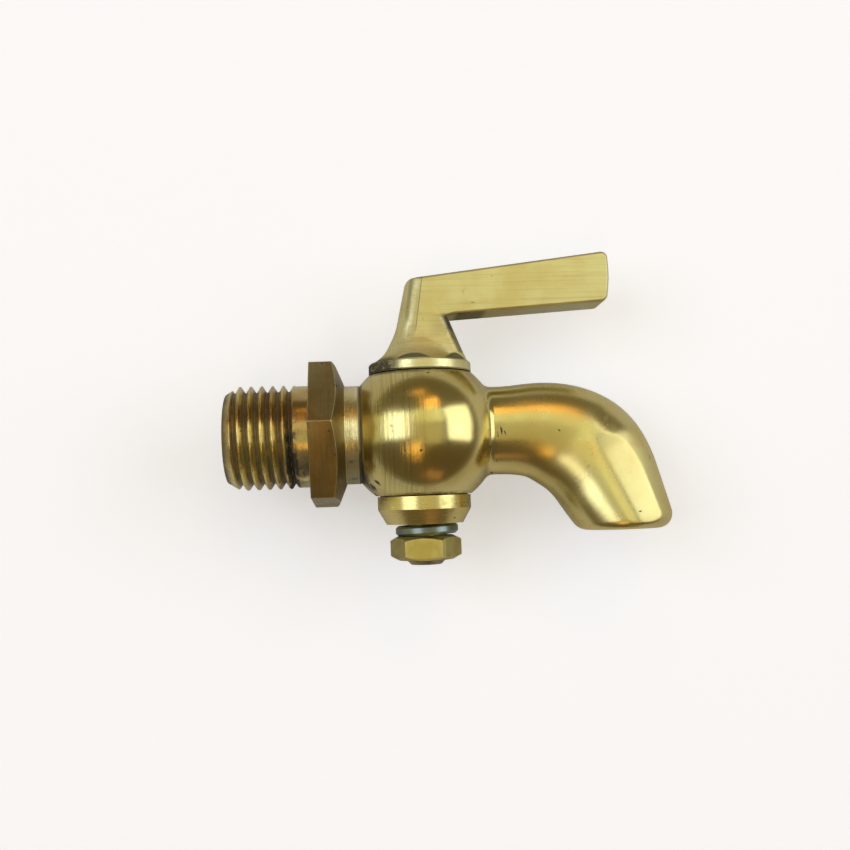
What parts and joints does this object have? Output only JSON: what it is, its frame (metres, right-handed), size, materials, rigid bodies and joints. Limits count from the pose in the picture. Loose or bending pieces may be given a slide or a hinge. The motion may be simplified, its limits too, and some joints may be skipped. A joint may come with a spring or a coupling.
{
  "type": "radiator drain tap",
  "caption": "Small ground-key drain tap: male threaded inlet with spanner hexagon, ball body with turning taper key and flat lever, bent spout.",
  "frame": {"origin": "centre of the inlet end face, on the axis of the waterway", "axes": "+X along the waterway from the inlet to the spout, +Z along the key's axis up to the lever, +Y across"},
  "size_m": [0.0553, 0.0196, 0.0386],
  "materials": {
    "body_brass": "cast, hand polished",
    "key_brass": "ground on a belt, fine lines along the lever",
    "washer_brass": "turned",
    "spring_steel": "dull zinc plate",
    "nut_brass": "satin"
  },
  "bodies": {
    "body": {"tap_body": "body_brass"},
    "key": {"plug_key": "key_brass", "tail_washer": "washer_brass", "spring_washer": "spring_steel", "tail_nut": "nut_brass"}
  },
  "joints": [
    {"name": "key_turn", "type": "hinge", "parent": "body", "child": "key", "pos_m": [0.0242, 0, 0], "axis": [0, 0, 1], "continuous": true}
  ]
}
